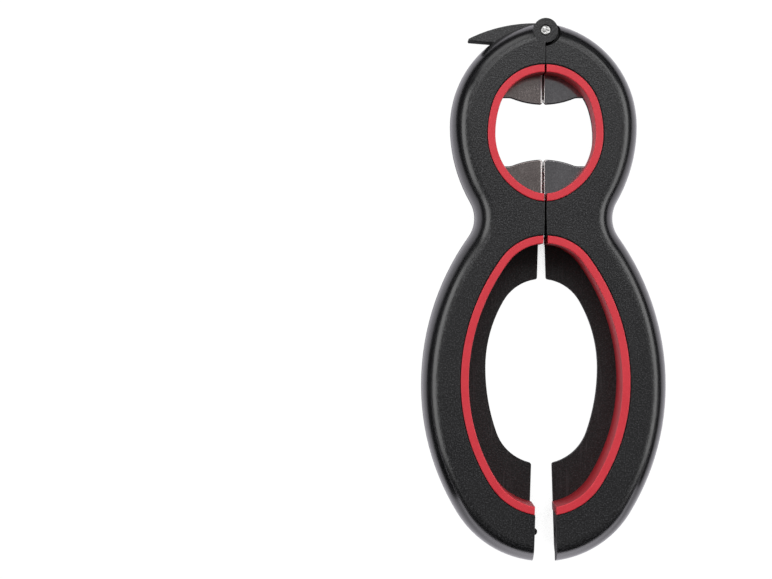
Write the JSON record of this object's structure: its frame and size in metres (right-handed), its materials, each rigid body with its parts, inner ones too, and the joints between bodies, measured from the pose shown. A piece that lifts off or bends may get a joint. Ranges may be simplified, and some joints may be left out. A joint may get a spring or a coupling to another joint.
{
  "type": "manual can and jar opener",
  "caption": "Hinged hand opener with a steel-lipped crown cap mouth, a soft-lined jar lid pocket and a ring-pull beak, lying on its back.",
  "frame": {"origin": "below the middle of the shut opener, on the surface that it lies on", "axes": "+X to the right arm, +Y along the opener towards the hinge, +Z out of its front face"},
  "size_m": [0.0956, 0.2105, 0.025],
  "materials": {
    "black_shell": "fine spark texture on the face, satin on the shoulders",
    "red_liner": "matte soft-touch",
    "lip_steel": "satin stamping with bright edges",
    "screw_steel": "zinc plated",
    "pin_steel": "bright, peened head",
    "stud_rubber": "matte"
  },
  "bodies": {
    "left_arm": {"left_front_shell": "black_shell", "left_back_shell": "black_shell", "left_cap_liner": "red_liner", "left_jar_liner": "red_liner", "left_cap_plate": "lip_steel", "left_screws": "screw_steel", "ring_pull_beak": "black_shell", "hinge_pin": "pin_steel", "pin_washer": "pin_steel", "foot_stud": "stud_rubber"},
    "right_arm": {"right_front_shell": "black_shell", "right_back_shell": "black_shell", "right_cap_liner": "red_liner", "right_jar_liner": "red_liner", "right_cap_plate": "lip_steel", "right_screws": "screw_steel"}
  },
  "joints": [
    {"name": "arm_hinge", "type": "hinge", "parent": "left_arm", "child": "right_arm", "pos_m": [0, 0.10065, 0.0125], "axis": [0, 0, 1], "range_deg": [0, 75]}
  ]
}
